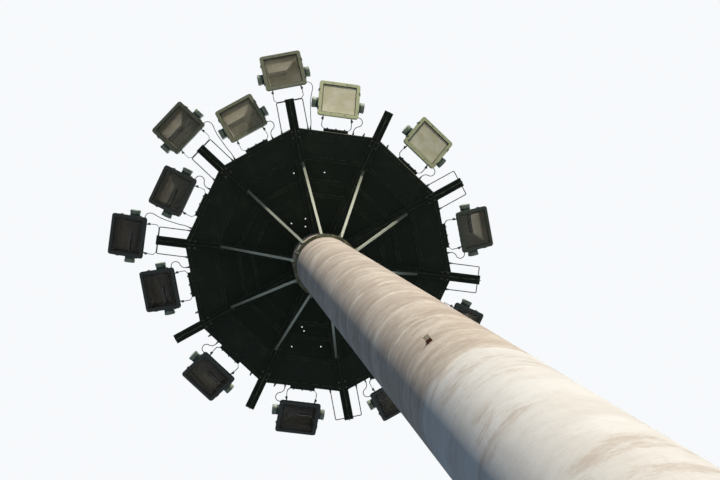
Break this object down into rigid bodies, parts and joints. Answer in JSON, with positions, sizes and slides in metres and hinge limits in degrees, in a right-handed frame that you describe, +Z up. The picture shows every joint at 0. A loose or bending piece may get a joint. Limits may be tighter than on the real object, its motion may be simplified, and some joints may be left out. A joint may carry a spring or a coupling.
{
  "type": "high mast floodlight tower",
  "caption": "Tall tapered concrete mast carrying a ten-sided service platform with tilting floodlights on yokes round its rim.",
  "frame": {"origin": "centre of the mast's flat foot, at ground level", "axes": "+Z up along the mast; +X along the first spoke"},
  "size_m": [4.8574, 4.8383, 27.762],
  "materials": {
    "mast_concrete": "matte",
    "galvanised": "satin",
    "rusty_steel": "matte",
    "dark_paint": "matte",
    "deck_plate": "matte",
    "black_plastic": "matte",
    "lamp_paint": "satin",
    "lamp_glass": "gloss",
    "cable_sheath": "matte"
  },
  "bodies": {
    "tower": {"mast_shaft": "mast_concrete", "mast_cap": "galvanised", "service_door": "galvanised", "mast_bracket": "rusty_steel", "hub_collar": "dark_paint", "strut_collar": "galvanised", "deck_beams": "dark_paint", "struts": "galvanised", "rim_sides": "dark_paint", "ring_bars": "dark_paint", "deck_inner": "deck_plate", "deck_middle": "deck_plate", "deck_outer": "deck_plate", "guard_posts": "galvanised", "guard_rails": "galvanised", "yokes": "galvanised", "yoke_packers": "dark_paint", "rod_frames": "galvanised", "rim_glands": "black_plastic", "cable_01": "cable_sheath", "cable_02": "cable_sheath", "cable_03": "cable_sheath", "cable_04": "cable_sheath", "cable_05": "cable_sheath", "cable_06": "cable_sheath", "cable_07": "cable_sheath", "cable_08": "cable_sheath", "cable_09": "cable_sheath", "cable_10": "cable_sheath", "cable_11": "cable_sheath", "cable_12": "cable_sheath", "cable_13": "cable_sheath"},
    "floodlight_01": {"housing_01": "lamp_paint", "glass_01": "lamp_glass"},
    "floodlight_02": {"housing_02": "lamp_paint", "glass_02": "lamp_glass"},
    "floodlight_03": {"housing_03": "lamp_paint", "glass_03": "lamp_glass"},
    "floodlight_04": {"housing_04": "lamp_paint", "glass_04": "lamp_glass"},
    "floodlight_05": {"housing_05": "lamp_paint", "glass_05": "lamp_glass"},
    "floodlight_06": {"housing_06": "lamp_paint", "glass_06": "lamp_glass"},
    "floodlight_07": {"housing_07": "lamp_paint", "glass_07": "lamp_glass"},
    "floodlight_08": {"housing_08": "lamp_paint", "glass_08": "lamp_glass"},
    "floodlight_09": {"housing_09": "lamp_paint", "glass_09": "lamp_glass"},
    "floodlight_10": {"housing_10": "lamp_paint", "glass_10": "lamp_glass"},
    "floodlight_11": {"housing_11": "lamp_paint", "glass_11": "lamp_glass"},
    "floodlight_12": {"housing_12": "lamp_paint", "glass_12": "lamp_glass"},
    "floodlight_13": {"housing_13": "lamp_paint", "glass_13": "lamp_glass"}
  },
  "joints": [
    {"name": "tilt_01", "type": "hinge", "parent": "tower", "child": "floodlight_01", "pos_m": [1.69097, 0.54943, 26.685], "axis": [-0.309, 0.9511, 0], "range_deg": [-45, 30], "deforming": ["cable_01"]},
    {"name": "tilt_02", "type": "hinge", "parent": "tower", "child": "floodlight_02", "pos_m": [1.04508, 1.43843, 26.685], "axis": [-0.809, 0.5878, 0], "range_deg": [-45, 30], "deforming": ["cable_02"]},
    {"name": "tilt_03", "type": "hinge", "parent": "tower", "child": "floodlight_03", "pos_m": [0, 1.778, 26.685], "axis": [-1, 0, 0], "range_deg": [-45, 30], "deforming": ["cable_03"]},
    {"name": "tilt_04", "type": "hinge", "parent": "tower", "child": "floodlight_04", "pos_m": [-1.04508, 1.43843, 26.685], "axis": [-0.809, -0.5878, 0], "range_deg": [-45, 30], "deforming": ["cable_04"]},
    {"name": "tilt_05", "type": "hinge", "parent": "tower", "child": "floodlight_05", "pos_m": [-1.69097, 0.54943, 26.685], "axis": [-0.309, -0.9511, 0], "range_deg": [-45, 30], "deforming": ["cable_05"]},
    {"name": "tilt_06", "type": "hinge", "parent": "tower", "child": "floodlight_06", "pos_m": [-1.69097, -0.54943, 26.685], "axis": [0.309, -0.9511, 0], "range_deg": [-45, 30], "deforming": ["cable_06"]},
    {"name": "tilt_07", "type": "hinge", "parent": "tower", "child": "floodlight_07", "pos_m": [-1.04508, -1.43843, 26.685], "axis": [0.809, -0.5878, 0], "range_deg": [-45, 30], "deforming": ["cable_07"]},
    {"name": "tilt_08", "type": "hinge", "parent": "tower", "child": "floodlight_08", "pos_m": [0, -1.778, 26.685], "axis": [1, 0, 0], "range_deg": [-45, 30], "deforming": ["cable_08"]},
    {"name": "tilt_09", "type": "hinge", "parent": "tower", "child": "floodlight_09", "pos_m": [1.04508, -1.43843, 26.685], "axis": [0.809, 0.5878, 0], "range_deg": [-45, 30], "deforming": ["cable_09"]},
    {"name": "tilt_10", "type": "hinge", "parent": "tower", "child": "floodlight_10", "pos_m": [1.69097, -0.54943, 26.685], "axis": [0.309, 0.9511, 0], "range_deg": [-45, 30], "deforming": ["cable_10"]},
    {"name": "tilt_11", "type": "hinge", "parent": "tower", "child": "floodlight_11", "pos_m": [2.168, 0, 26.685], "axis": [0, 1, 0], "range_deg": [-45, 30], "deforming": ["cable_11"]},
    {"name": "tilt_12", "type": "hinge", "parent": "tower", "child": "floodlight_12", "pos_m": [0.66995, -2.06189, 26.685], "axis": [0.9511, 0.309, 0], "range_deg": [-45, 30], "deforming": ["cable_12"]},
    {"name": "tilt_13", "type": "hinge", "parent": "tower", "child": "floodlight_13", "pos_m": [1.75395, -1.27432, 26.685], "axis": [0.5878, 0.809, 0], "range_deg": [-45, 30], "deforming": ["cable_13"]}
  ]
}
